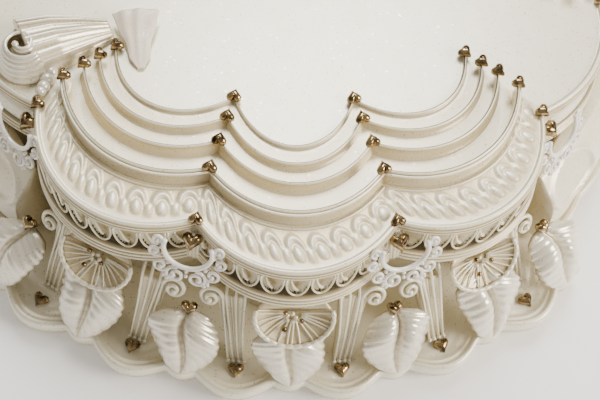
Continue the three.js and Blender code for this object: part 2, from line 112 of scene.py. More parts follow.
def piece(name, sheets, finish, slot, *nodes):
    """One smooth-shaded mesh, in metres, from woven sheets. It rides on the cake and stands for the nodes."""
    faces, start = [], 0
    for points, quads, caps, _ in sheets:
        faces += (quads + start).tolist()
        faces += [[i + start for i in cap] for cap in caps]
        start += len(points)
    mesh = bpy.data.meshes.new(name)
    mesh.from_pydata((np.concatenate([s[0] for s in sheets]) * MM).tolist(), [], faces)
    mesh.shade_smooth()
    # each point's painted shade, which the icing materials turn into a darker colour
    depth = mesh.attributes.new("painted_shade", "FLOAT", "POINT")
    depth.data.foreach_set("value", np.concatenate([s[3] for s in sheets]).astype(np.float32))
    mesh.materials.append(finish)
    obj = bpy.data.objects.new(name, mesh)
    bpy.context.scene.collection.objects.link(obj)
    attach(obj, "root")
    if nodes:
        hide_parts(*nodes)
    return obj


def linear(hex_colour):
    """An sRGB hex value as linear RGBA."""
    channels = [int(hex_colour[i:i + 2], 16) / 255 for i in (1, 3, 5)]
    return [c / 12.92 if c <= 0.04045 else ((c + 0.055) / 1.055) ** 2.4 for c in channels] + [1.0]


def node(material, kind, settings=None, **links):
    """Adds a node: settings are its properties or its sockets' values, links are the sockets that feed it."""
    tree = material.node_tree
    new = tree.nodes.new("ShaderNode" + kind)
    for key, value in (settings or {}).items():
        if isinstance(key, str) and hasattr(new, key):
            setattr(new, key, value)
        else:
            new.inputs[key].default_value = value
    for key, source in links.items():
        slot = int(key[1:]) if key[0] == "i" and key[1:].isdigit() else key.replace("_", " ")
        tree.links.new(source, new.inputs[slot])
    return new


def new_material(name):
    """A material with one node, for the place on the object, and that node's output."""
    material = bpy.data.materials.new(name)
    material.use_nodes = True
    material.node_tree.nodes.clear()
    return material, node(material, "TexCoord").outputs["Object"]


def iced(name, raised, sunk, speck_share, roughness, coat, glitter, lustre):
    """Royal icing: the raised colour turns to the sunk one as painted shade, by each point's painted shade,
    unevenly from grain to grain, and a little in faint clouds of real tone; where that painted shade passes 1
    it turns on to the crevice colour, a painted deep shade. Sugar grain bumps the surface, a share of tiny
    cells is a darker or a brighter speck, and lustre is the share that pearl dust covers."""
    material, where = new_material(name)
    cloud = node(material, "TexNoise", {"Scale": 1 / (LUMP_MM * MM), "Detail": 3.0}, Vector=where)
    grain = node(material, "TexNoise", {"Scale": 1 / (GRAIN_MM * MM), "Detail": 2.0}, Vector=where)
    cells = node(material, "TexVoronoi", {"Scale": 1 / (SPECK_MM * MM)}, Vector=where)
    painted_shade = node(material, "Attribute", {"attribute_name": "painted_shade"}).outputs["Fac"]
    clouds = node(material, "MapRange", {"From Min": 0.35, "From Max": 0.75, "To Max": 0.16},
                  Value=cloud.outputs["Fac"]).outputs["Result"]
    uneven = node(material, "MapRange", {"From Min": 0.3, "From Max": 0.7, "To Min": 0.6, "To Max": 1.3},
                  Value=grain.outputs["Fac"]).outputs["Result"]
    # painted shade: the colour turns to the sunk cream with each point's shade, and past 1 on to the crevice
    # colour
    grainy = node(material, "Math", {"operation": "MULTIPLY"}, i0=painted_shade, i1=uneven).outputs[0]
    depth = node(material, "Math", {"operation": "ADD", "use_clamp": True}, i0=grainy, i1=clouds).outputs[0]
    soft = node(material, "Mix", {"data_type": "RGBA", 6: linear(raised), 7: linear(sunk)}, i0=depth).outputs[2]
    deep_shade = node(material, "Math", {"operation": "SUBTRACT", "use_clamp": True, 1: 1.0}, i0=painted_shade).outputs[0]
    body = node(material, "Mix", {"data_type": "RGBA", 7: linear(CREVICE_SHADE)}, i0=deep_shade, i6=soft).outputs[2]
    pick = node(material, "SeparateColor", Color=cells.outputs["Color"]).outputs
    near = node(material, "Math", {"operation": "LESS_THAN", 1: 0.42}, i0=cells.outputs["Distance"]).outputs[0]
    dark = node(material, "Math", {"operation": "LESS_THAN", 1: speck_share}, i0=pick[0]).outputs[0]
    spot = node(material, "Math", {"operation": "MULTIPLY"}, i0=near, i1=dark).outputs[0]
    faint = node(material, "Math", {"operation": "MULTIPLY", 1: 0.6}, i0=spot).outputs[0]
    colour = node(material, "Mix", {"data_type": "RGBA", 7: linear(SPECK)}, i0=faint, i6=body).outputs[2]
    spark = node(material, "Math", {"operation": "GREATER_THAN", 1: 1 - glitter}, i0=pick[1]).outputs[0]
    gloss = node(material, "MapRange", {"To Min": roughness, "To Max": 0.12}, Value=spark).outputs["Result"]
    lumps = node(material, "Bump", {"Strength": 0.25, "Distance": 0.4 * MM}, Height=cloud.outputs["Fac"])
    tilt = node(material, "Bump", {"Strength": 0.35, "Distance": 0.12 * MM}, Height=grain.outputs["Fac"],
                Normal=lumps.outputs["Normal"])
    shader = node(material, "BsdfPrincipled", {
        "Metallic": lustre, "IOR": 1.5, "Coat Weight": coat, "Coat Roughness": 0.2, "Subsurface Weight": 0.12,
        "Subsurface Scale": 1.5 * MM, "Subsurface Radius": (1.0, 0.75, 0.5),
    }, Base_Color=colour, Roughness=gloss, Normal=tilt.outputs["Normal"])
    node(material, "OutputMaterial", Surface=shader.outputs["BSDF"])
    return material


royal_icing = iced("pearl_royal_icing", PEARL_WHITE, SHADE_AND_CLOUD_CREAM, 0.045, 0.36, 0.4, 0.006, 0.22)


def board_radius(angle):
    """The board's outline: a quarter-cosine hump for each dish and a lower one for each leaf's tip between
    two dishes; past the last leaf it draws in to small waves."""
    cell = angle / DISH_PITCH + DISHES / 2
    s = np.abs((cell - np.floor(cell)) * 2 - 1)
    dish = NOTCH_R + (DISH_R - NOTCH_R) * np.cos(np.clip(s / DISH_SHARE, 0, 1) * np.pi / 2)
    leaf = NOTCH_R + (LEAF_TIP_R - NOTCH_R) * np.cos(np.clip((1 - s) / (1 - DISH_SHARE), 0, 1) * np.pi / 2)
    waves = PLAIN_BOARD_R + PLAIN_WAVE * np.abs(np.cos(np.radians(PANEL_TURN / 2 - angle) * 15))
    inset = np.clip((np.abs(angle) - BOARD_HALF) / 0.6, 0, 1)
    return np.where(s < DISH_SHARE, dish, leaf) * (1 - inset) + waves * inset


# the edge's section, as distance out from the outline and height: foot, wall, piped rim, dish; the
# dish is brushed into soft curls, a product of two sines along and across the edge
FOOT_TOP = 8
BOARD_SECTION = [
    (-7, 0), (-3, 2.5), (-0.4, 7), (-0.2, 11), (-0.3, 14), (-0.9, 16), (-2.2, 17), (-3.6, 16.7), (-4.6, 15.7),
    (-5.4, 15.2), (-6.4, 15.5), (-7.4, 15.1), (-8.6, 14.3), (-10, 14.0), (-11.5, 13.8), (-13, 13.6),
]
BOARD_SECTION += [(-14.5 - 1.5 * k, BOARD_Z) for k in range(8)] + [(-32, 13.6)]
one_panel = np.concatenate([np.linspace(-BOARD_HALF, BOARD_HALF, 260, endpoint=False),
                            np.linspace(BOARD_HALF, PANEL_TURN - BOARD_HALF, 100, endpoint=False)])
board_edge = board_radius(np.where(one_panel > PANEL_TURN / 2, one_panel - PANEL_TURN, one_panel))
angles = np.concatenate([one_panel + PANEL_TURN * k for k in range(PANELS)])
outline = np.tile(board_edge, PANELS)
section = np.array(BOARD_SECTION)[:, :, None]
place = (angles - PANEL_TURN * np.round(angles / PANEL_TURN)) / DISH_PITCH + DISHES / 2
curls = 0.5 * np.sin(place * 2 * np.pi * 3 + section[:, 0] * 0.45) * np.sin(section[:, 0] * 0.4)
curls = curls * np.clip((-9 - section[:, 0]) / 3, 0, 1) * np.clip((32 + section[:, 0]) / 6, 0, 1)
board_points = at(angles, outline + section[:, 0], section[:, 1] + curls)
# painted shade: a little in the crease inside the piped rim, and dark on the foot below FOOT_TOP, where the
# board meets the table
board_shade = np.interp(section[:, 0] + 0 * outline, [-22, -14, -9, -5.4, -3, 0], [0.0, 0.0, 0.1, 0.25, 0.0, 0.0])
board_shade = np.where(section[:, 1] < FOOT_TOP, 1.2, board_shade)
piece("board_icing", [sheet(board_points, wrap=True, painted_shade=board_shade)], royal_icing, "royal_icing", "base_board")


# The tier's wall, of flat icing, with a collar that stands out over it on a ledge of three piped
# beads. Above the ledge a rail of cupped arches runs round under the rim, each edged with a piped
# lip and with a comma piped into its cup. Between their feet it is open, and painted dark there as
# deep shade; the cups, the wall under the ledge and the necks of its beads are painted with shade too.

INNER_CUSP = 14.4
OUTER_CUSP = 46
EDGE = {"inner": 200, "outer": 184.5, "front": 22, "side": 21.5, "plain": 9}
MOTIFS = 9               # arches, and pressed tongues, in each piped lobe
TOP_Z = 100
RAIL_LOW = 79.5
RAIL_HIGH = 96.5
ARCH_ROUND = 0.85        # share of the arch's height that is its round foot
CUP_DEPTH = 3.6
OPENING_DEPTH = 11
LIP = 0.6
COMMA = 1.2
LEDGE_BEADS = [(2.8, 72.2), (2.4, 74.9), (1.9, 77.6)]    # out from the edge, and height
LEDGE_BEAD = 1.05
MOTIF_STEPS = 14
PLAIN_STEPS = 36

LOBES = []
for panel in range(PANELS):
    middle = panel * PANEL_TURN
    LOBES += [
        ("side", middle - OUTER_CUSP, middle - INNER_CUSP, "outer", "inner"),
        ("front", middle - INNER_CUSP, middle + INNER_CUSP, "inner", "inner"),
        ("side", middle + INNER_CUSP, middle + OUTER_CUSP, "inner", "outer"),
        ("plain", middle + OUTER_CUSP, middle + PANEL_TURN - OUTER_CUSP, "outer", "outer"),
    ]
PIPED_LOBES = [lobe for lobe in LOBES if lobe[0] != "plain"]


def lobe_path(row, lobe, t):
    """Angle and radius along a lobe, for t from -1 to 1: the radius runs straight from one cusp's to the
    next one's, and bows out by the lobe's depth times 1 - t squared."""
    kind, start, stop, first, last = lobe
    s = (t + 1) / 2
    return start + (stop - start) * s, row[first] + (row[last] - row[first]) * s + row[kind] * (1 - t * t)


def collar():
    """Angle, edge radius, distance in mm from the middle of the nearest motif, half the motifs' pitch, and 1
    on piped lobes, round the whole collar."""
    parts = []
    for lobe in LOBES:
        is_piped = lobe[0] != "plain"
        t = np.linspace(-1, 1, MOTIFS * MOTIF_STEPS if is_piped else PLAIN_STEPS, endpoint=False)
        angle, radius = lobe_path(EDGE, lobe, t)
        cell = (t + 1) / 2 * MOTIFS
        half = np.radians(lobe[2] - lobe[1]) * radius / MOTIFS / 2
        off = (cell - np.floor(cell) - 0.5) * 2 * half
        parts.append(np.stack([angle, radius, off, half, 0 * t + is_piped]))
    return np.concatenate(parts, axis=1)


def bead(out, z, radius, first, last, count):
    """Points of a piped bead's section from one direction to another, in degrees above the horizontal."""
    turn = np.radians(np.linspace(first, last, count))
    return [(out + radius * math.cos(a), z + radius * math.sin(a)) for a in turn]


def arch_depth(across, half, height):
    """How far the rail stands out, and its painted shade: a cup inside each U, as deep as a parabola across
    times a half sine up and painted darker towards its middle, and an opening at the foot, beside each U's
    round, painted dark as deep shade."""
    foot = 1 - np.clip(height / ARCH_ROUND, 0, 1)
    width = (half - 0.5) * np.sqrt(np.clip(1 - foot ** 2, 0.0004, 1))
    x = np.clip(np.abs(across) / width, 0, 1)
    cup = 0.4 - CUP_DEPTH * (1 - x ** 2) * np.sin(np.pi * np.clip(height * 0.75 + 0.15, 0, 1))
    beyond = np.clip((np.abs(across) - width) / 0.6, 0, 1) * np.clip((0.62 - height) / 0.12, 0, 1)
    return cup * (1 - beyond) - OPENING_DEPTH * beyond, np.maximum(2 * beyond, 0.25 + 0.75 * (1 - x))


def tube(path, radius, up, sides=8, painted_shade=0.0):
    """A round tube: at each point of the path, a ring of that radius square to the path's direction, which is
    the difference of its neighbours. up is never along the path."""
    path = np.asarray(path, float)
    ahead = np.gradient(path, axis=0)
    ahead /= np.linalg.norm(ahead, axis=1, keepdims=True)
    first = np.cross(ahead, np.broadcast_to(up, path.shape))
    first /= np.linalg.norm(first, axis=1, keepdims=True)
    second = np.cross(first, ahead)
    turn = np.linspace(0, 2 * np.pi, sides, endpoint=False)
    radius = np.broadcast_to(radius, len(path))[:, None, None]
    ring = np.cos(turn)[None, :, None] * first[:, None] + np.sin(turn)[None, :, None] * second[:, None]
    tint = np.broadcast_to(painted_shade, len(path))[:, None] + 0 * turn
    return sheet(path[:, None] + radius * ring, wrap=True, painted_shade=tint)


def on_rail(lobe, motif, across, height, lift):
    """Points of the rail from places in a motif: across and height run over -1 to 1 and 0 to 1."""
    angle, radius = lobe_path(EDGE, lobe, (2 * motif + 1 + across) / MOTIFS - 1)
    return at(angle, radius + lift, RAIL_LOW + (RAIL_HIGH - RAIL_LOW) * height)


angles, edge, across, half, piped = collar()
low = [(-17, 13.8), (-17, 30), (-17, 50), (-17, 64), (-15.5, 67.5), (-10, 70), (-2, 70.6)]
for out, z in LEDGE_BEADS:
    low += [(out - 1.6, z - 1.35)] + bead(out, z, LEDGE_BEAD, -75, 75, 5)
low += [(0.4, 79.1)]
rows = [at(angles, edge + out, z + 0 * edge) for out, z in low]
# painted shade: the wall darkens upwards under the ledge, each bead is deep shade in its necks and light on its
# crown, and the rail's foot is deep shade
tints = [0.15, 0.15, 0.2, 0.3, 0.4, 0.5, 0.6] + [2.0, 1.5, 0.3, 0.0, 0.2, 1.3] * len(LEDGE_BEADS) + [2.0]
tints = [0 * edge + tint for tint in tints]
for height in np.linspace(0, 1, 18):
    depth, shade = arch_depth(across, half, height)
    smooth = 0.6 - 2.2 * np.sin(np.pi * height)
    z = RAIL_LOW + (RAIL_HIGH - RAIL_LOW) * height
    rows.append(at(angles, edge + np.where(piped > 0, depth, smooth), z))
    # the piped rail's painted shade, from the cups and openings
    tints.append(np.where(piped > 0, shade, 0.05))
rows.append(at(angles, edge - 6, RAIL_HIGH + 1.0))
tints.append(tints[-1])
wall = sheet(np.stack(rows), wrap=True, painted_shade=np.stack(tints))
piece("tier_wall", [wall], royal_icing, "royal_icing", "cake_tier")

u_turn = np.radians(np.linspace(-90, 90, 15))
u_across = np.concatenate([[-1], np.sin(u_turn), [1]])
u_height = np.concatenate([[1], (1 - np.cos(u_turn)) * ARCH_ROUND, [1]])
s = np.linspace(0, 1, 8)
comma_across, comma_height = 0.1 - 0.62 * s ** 0.7, 0.24 + 0.62 * s ** 1.5
lips = []
for lobe in PIPED_LOBES:
    for motif in range(MOTIFS):
        out = at((lobe[1] + lobe[2]) / 2, 1, 0)
        # the lips get a faint painted shade, the commas none
        lips.append(tube(on_rail(lobe, motif, 0.9 * u_across, u_height, LIP), LIP, out, sides=6, painted_shade=0.2))
        comma = on_rail(lobe, motif, comma_across, comma_height, -0.9)
        lips.append(tube(comma, COMMA - 0.85 * s, out, sides=6))
piece("arch_lips", lips, royal_icing, "royal_icing")


# The rim, three fine lines of royal icing piped side by side, and the top inside it, pressed while
# soft with a roller that leaves a row of hooded tongues; the rest of the top is smoothed flat.

# where the band runs, in from the collar's edge, and how high its parts stand
TONGUE_FROM = 6
BAND_TO = 27
DOME = 1.15
HOOD = 1.2
LEG = 0.8


def pressed(across, inset, half):
    """Height of the band, on a slant of 0.35 across for each mm towards the rim. Each motif is a low dome over
    an ellipse; a hood, half a ring over the dome's inner end, thickest on its left; and a leg to the rim."""
    slant = np.mod(across - 0.35 * (13 - inset) + half, 2 * half) - half
    dome = DOME * np.sqrt(np.clip(1 - (slant / 2.7) ** 2 - ((inset - 12.5) / 4.6) ** 2, 0, 1))
    q = np.hypot(slant / 4.0, (inset - 14.5) / 6.0)
    turn = np.arctan2(inset - 14.5, slant)
    hood = HOOD * np.exp(-((q - 1) / (0.2 + 0.13 * np.cos(turn - 2.4))) ** 2) * np.clip((inset - 12.5) / 3, 0, 1)
    leg = LEG * np.exp(-((np.abs(slant) - half + 0.6) / 1.1) ** 2) * np.clip((17 - inset) / 4, 0, 1)
    leg = leg * np.clip((inset - 6) / 5, 0, 1)
    height = np.maximum(np.maximum(dome, hood), leg)
    fade = np.clip((inset - TONGUE_FROM) / 2, 0, 1) * np.clip((BAND_TO - inset) / 2, 0, 1)
    return height * fade


half = np.where(piped > 0, half, 1e3)
top = [(-8, 97), (-1.6, 96.6)]
top += bead(-0.4, 97.3, 0.8, -70, 60, 4) + bead(-0.9, 98.9, 0.85, -50, 60, 4)
top += bead(-2.2, 100.45, 1.15, -10, 175, 8)
rows = [at(angles, edge + out, z + 0 * edge) for out, z in top]
# painted shade: under the rim and in the necks between its three beads; the beads' crowns are left bright
tints = [1.0, 1.0] + [1.2, 0.2, 0.1, 1.7] + [1.2, 0.1, 0.1, 1.7] + [0.7] + [0.0] * 6 + [1.2]
tints = [0 * edge + tint for tint in tints]
for inset in np.linspace(3.9, 33, 38):
    height = pressed(across, inset, half) * piped
    rows.append(at(angles, edge - inset, TOP_Z + height))
    # painted shade in the pressed band, deepest where it is low between the tongues and fading at both ends, and
    # a faint tan strip within 9 mm of the edge
    in_band = piped * np.clip((inset - 5) / 4, 0, 1) * np.clip((30 - inset) / 6, 0, 1)
    tints.append(in_band * np.clip(0.85 - 0.85 * height, 0, 1) + 0.15 * piped * (inset < 9))
rows.append(at(angles, edge - 60, TOP_Z - 0.05 + 0 * edge))
tints.append(0 * edge)
top = sheet(np.stack(rows), wrap=True, painted_shade=np.stack(tints))
piece("tier_top", [top], royal_icing, "royal_icing", "cake_tier")


# The overpiped lines, each piped on the one below with a finer tube, so that a thin bright thread
# tops a wall that is brushed down into the top sheet on its outer side. The outermost wall is the
# highest: a second thread runs beside its crest, and a third along its foot.

LINES = [
    {"inner": 125, "outer": 130, "front": 25.5, "side": 18.5, "height": 2.6},
    {"inner": 139, "outer": 141, "front": 23, "side": 17, "height": 4.8},
    {"inner": 155, "outer": 151.5, "front": 19.5, "side": 16, "height": 7},
    {"inner": 172.5, "outer": 164.5, "front": 18.5, "side": 15.5, "height": 9.2},
]
CREST = 0.85
NECK = 0.3
FOOT_IN = 1.3
FOOT_OUT = 3.8


def swept(path, section):
    """A section carried along a path: each ring is the path's angle and radius moved out by the section's
    first value and up by its second."""
    angle, radius = path
    out, up = np.asarray(section).T
    return at(angle[:, None], radius[:, None] + out, TOP_Z + up + 0 * radius[:, None])


def wall_section(height):
    """Outer side, crest and inner side: the outer half width is the neck's plus a fillet that grows with the
    cube of the way down, the inner one widens evenly, and the crest is three quarters of a circle. The tint is
    painted shade: tan on both sides, deepening towards the crest, and brown in the folds beside it."""
    share = np.linspace(0, 1, 9)
    neck_z = height - 1.75 * CREST
    outer = np.stack([NECK + (FOOT_OUT - NECK) * (1 - share) ** 3, -0.3 + (neck_z + 0.3) * share], -1)
    turn = np.radians(np.array([-45, -20, 5, 30, 55, 72, 84, 94, 135, 190, 225]))
    crest = np.stack([CREST * np.cos(turn), height - CREST + CREST * np.sin(turn)], -1)
    inner = np.stack([-NECK - (FOOT_IN - NECK) * share, neck_z - (neck_z + 0.3) * share], -1)
    # painted shade, from the foot of the outer side over the crest to the foot of the inner side
    tint = np.concatenate([np.interp(share, [0, 0.3, 0.85, 1], [0.65, 0.7, 0.75, 1.9]), [2.0, 0.5] + [0.0] * 5,
                           [2.0, 2.0, 2.0, 1.6], np.interp(share, [0, 0.2, 1], [1.0, 0.6, 0.3])])
    return np.concatenate([outer, crest, inner]), tint


def thread(out, up, radius):
    """The eight-sided section of a piped thread."""
    turn = np.radians(np.arange(0, 360, 45))
    return np.stack([out + radius * np.cos(turn), up + radius * np.sin(turn)], -1)


steps = np.linspace(-1, 1, 45)
linework = []
for lobe in PIPED_LOBES:
    for line in LINES:
        section, tint = wall_section(line["height"])
        path = lobe_path(line, lobe, steps)
        linework.append(sheet(swept(path, section), wrap=True, painted_shade=tint[None]))
    # the path is now the outermost wall's
    linework.append(sheet(swept(path, thread(1.75, 7.3, 0.8)), wrap=True))
    linework.append(sheet(swept(path, thread(5.6, 0.4, 0.65)), wrap=True))
piece("overpiped_lines", linework, royal_icing, "royal_icing")

# the smoothed middle of the top: a painted tan shadow beyond the foot of each wall, fading within a few mm
SHEET_INSET = 28
MIDDLE_R = 105
SHADOW_FADE = 6
SHEET_LIFT = 0.03
NO_WALL = 400            # a wall far outside the top, which tints nothing

middle_t = np.linspace(-1, 1, 32, endpoint=False)
rim_angle, rim_radius, wall_radii = [], [], []
for lobe in LOBES:
    angle, radius = lobe_path(EDGE, lobe, middle_t)
    rim_angle.append(angle)
    rim_radius.append(radius)
    walls = [0 * radius + NO_WALL if lobe[0] == "plain" else lobe_path(line, lobe, middle_t)[1]
             for line in LINES]
    wall_radii.append(np.stack(walls))
rim_angle, rim_radius = np.concatenate(rim_angle), np.concatenate(rim_radius)
wall_radii = np.concatenate(wall_radii, axis=1)
border = [(SHEET_INSET, 0.5), (SHEET_INSET, SHEET_LIFT), (SHEET_INSET + 0.5, SHEET_LIFT)]
rows = [at(rim_angle, rim_radius - inset, TOP_Z - down) for inset, down in border]
tints = [0 * rim_radius] * 3
for share in np.linspace(0, 1, 48):
    radius = (rim_radius - SHEET_INSET - 6) * (1 - share) + MIDDLE_R * share
    beyond = radius - wall_radii - FOOT_OUT * 0.8
    rows.append(at(rim_angle, radius, TOP_Z + SHEET_LIFT))
    # painted shadow of the nearest wall, at most 0.75, fading outwards
    painted_shadow = np.max(0.75 * np.exp(-beyond / SHADOW_FADE) * (beyond > 0), axis=0)
    tints.append(painted_shadow * np.clip((1 - share) * 12, 0, 1))
middle = sheet(np.stack(rows), wrap=True, painted_shade=np.stack(tints))
piece("top_sheet", [middle], royal_icing, "royal_icing")


# Fillers in the notches of the collar, where two lobes meet: short runs of royal icing, piped
# downwards in flutes, which stick to the wall as they dry.

FILLER_HALF = 6.4
FILLER_TALL = 24


def seat(angle, r, z, lean=0.0, turn=0.0):
    """Origin and axes of a piece's own plane: X along the rim, Y up the slope, Z out of it, turned in the
    plane by turn degrees."""
    along = np.array([math.cos(math.radians(angle)), math.sin(math.radians(angle)), 0.0])
    out = np.array([math.sin(math.radians(angle)), -math.cos(math.radians(angle)), 0.0])
    normal = out * math.cos(math.radians(lean)) + np.array([0, 0, math.sin(math.radians(lean))])
    slope = np.cross(normal, along)
    c, s = math.cos(math.radians(turn)), math.sin(math.radians(turn))
    return at(angle, r, z), np.array([c * along + s * slope, c * slope - s * along, normal])


def seated(place, points):
    """Points given in a seat's own axes, in the cake's frame."""
    origin, axes = place
    return origin + np.asarray(points, float) @ axes


def filler(angle, radius):
    """Flutes across, each a half wave, on a front that steps out from the rim to the ledge; flat behind."""
    down = np.linspace(0, 1, 16)[:, None]
    side = np.linspace(-1, 1, 41)[None]
    flute = 1.1 * np.abs(np.cos(2.5 * np.pi * side)) ** 0.7
    x = side * FILLER_HALF * (1 - 0.25 * down) + 0 * down
    out = (-1.5 + 7.5 * down ** 0.8 + flute * np.sin(np.pi * (0.15 + 0.8 * down))
           - 3.5 * side ** 2 * (1 - 0.5 * down))
    place = seat(angle, radius, 0)
    z = TOP_Z - 3 - FILLER_TALL * down
    # the back has the two edge columns only
    back = seated(place, xyz(x[:, ::40], z, -6.0))
    # painted shade: darker in the flutes' troughs, and dark on the back
    return slab(seated(place, xyz(x, z, out)), back, 0.7 - 0.6 * flute, 1.0)


cusps = [(lobe[1], EDGE[lobe[3]], lobe[3]) for lobe in LOBES]
piece("notch_fillers", [filler(angle, radius) for angle, radius, _ in cusps], royal_icing, "royal_icing")


# The brackets: four thin ribs of icing piped from under the ledge down to the board, over a smooth
# back that is hollowed between them and painted cream as shade, deepest in the hollows. The rib nearest
# a mid heart curls away at its head into a volute, and each rib is finished at its foot with a small bulb.

SIDE_SHIFT = -5
# angles of the head, the foot and the volute beside it, and the shift outwards
BRACKETS = [(8.4, 7, 11.2, 0), (18.9, 20.4, 16.1, 0), (33.4, 34.6, 36, SIDE_SHIFT)]
HEAD = {"r": 214, "z": 67.4, "half": 7.4}
FOOT = {"r": 235, "z": 15.5, "half": 4.2}
VOLUTE = {"across": 10.65, "radius": 6.3, "turns": 1.7}
RIB_TOP = 60
RIBS = (-1, -0.35, 0.35, 1)


def skirt(angle, x, z, lift, shift):
    """Points on the sloping skirt below the ledge: x mm along it from an angle, at a height, lifted off it."""
    run, rise = FOOT["r"] - HEAD["r"], HEAD["z"] - FOOT["z"]
    length = math.hypot(run, rise)
    r = HEAD["r"] + shift + run * (HEAD["z"] - z) / rise + lift * rise / length
    return at(angle + np.degrees(x / r), r, z + lift * run / length)


def ball(centre, radius, sides=8, squash=1.0):
    """A round blob: rings of latitude, closed at both poles."""
    rise = np.radians(np.linspace(-80, 80, sides // 2 + 2))[:, None]
    turn = np.linspace(0, 2 * np.pi, sides, endpoint=False)[None]
    grid = xyz(np.cos(rise) * np.cos(turn), np.cos(rise) * np.sin(turn), squash * np.sin(rise))
    return sheet(np.asarray(centre) + radius * grid, wrap=True)


def bracket(panel_middle, side, head, foot, volute, shift):
    """Ribs that spread from foot to head, and a spiral whose radius shrinks evenly with its turn. The back
    between each two ribs sinks by a half wave."""
    parts = []
    curl = np.sign(volute - head)
    height = np.linspace(FOOT["z"] - 0.5, RIB_TOP, 26)
    share = (height - height[0]) / (height[-1] - height[0])
    angle = panel_middle + side * (foot + (head - foot) * share)
    middle_out = at(panel_middle + side * head, 1, 0)
    spread = FOOT["half"] + (HEAD["half"] - FOOT["half"]) * share ** 1.8
    for k in RIBS:
        end = VOLUTE["across"] - VOLUTE["radius"] if k == curl else abs(k) * HEAD["half"]
        x = side * np.sign(k) * (abs(k) * FOOT["half"] + (end - abs(k) * FOOT["half"]) * share ** 1.8)
        lift = 0.9 + 1.6 * np.sin(np.pi * np.clip(share * 0.9 + 0.08, 0, 1))
        path = skirt(angle, x, height, lift, shift)
        width = 0.65 + 0.25 * share
        if k == curl:
            theta = np.linspace(0.12, 2 * np.pi * VOLUTE["turns"], 44)
            rho = VOLUTE["radius"] * (1 - 0.82 * theta / theta[-1])
            centre_x = x[-1] + side * curl * VOLUTE["radius"]
            spiral_x = centre_x - side * curl * rho * np.cos(theta)
            spiral = skirt(angle[-1], spiral_x, height[-1] - 1 + rho * np.sin(theta), 1.2 + 0.25 * theta, shift)
            path = np.concatenate([path[:-1], spiral])
            width = np.concatenate([width[:-1], np.linspace(1.3, 1.0, len(theta))])
            parts.append(ball(spiral[-1], 1.7))
        else:
            top = skirt(angle[-1], x[-1] * np.ones(4), np.linspace(61.5, 67, 4), np.linspace(0.8, -2, 4), shift)
            path = np.concatenate([path, top])
            width = np.concatenate([width, np.full(4, 0.9)])
        parts.append(tube(path, width, middle_out, sides=7))
        parts.append(ball(path[0] + np.array([0, 0, 0.8]), 1.35))
    across = np.linspace(-1, 1, 31)[None]
    half = spread[:, None]
    channel = np.interp(np.abs(across), [0, 0.35, 1], [0, 0.5, 1.0])
    sunk = 0.9 - 1.0 * np.abs(np.sin(2 * np.pi * channel)) * np.sqrt(share)[:, None]
    front = skirt(angle[:, None], across * half, height[:, None], sunk, shift)
    back = skirt(angle[:, None], across[:, ::30] * half, height[:, None], -6.0, shift)
    # painted shade: the back tinted cream, deeper where it sinks between the ribs, and its rear darker still
    return parts + [slab(front, back, np.clip(0.5 - 0.35 * sunk, 0, 1), 0.6)]


def both_sides(places):
    """Each place on both sides of each panel's middle: the middle's angle, the side and the place's values."""
    return [(panel * PANEL_TURN, side, *place)
            for panel in range(PANELS) for side in (-1, 1) for place in places]


for k, place in enumerate(both_sides(BRACKETS), 1):
    piece(f"bracket_ribs_{k}", bracket(*place), royal_icing, "royal_icing", f"bracket_{k}")


# The leaves, pressed from a veiner in sugar paste and dusted with lustre: two puffed, finely ribbed
# halves beside a sunk midrib. They hang from the mid hearts and the fans, and their tips rest on
# the board's edge.

LEAF = {"top_r": 225, "top_z": 51, "tip_z": 17.2, "half": 18.2, "belly": 6}
VEINS = 9
# angles of the tip and the head, and the shift outwards
CUSP_LEAVES = [(13.7, 13.7, 0), (40.6, 39.0, SIDE_SHIFT)]
# angle and shift outwards
LOBE_LEAVES = [(-27.3, SIDE_SHIFT), (0, 3), (27.3, SIDE_SHIFT)]

# its sunk colour is painted shade, in folds, between ribs and on backs, and also the faint clouds' real tone
petal_paste = iced("lustred_sugar_paste", "#EFEAD9", "#C3B28A", 0.004, 0.28, 0.7, 0.04, 0.4)


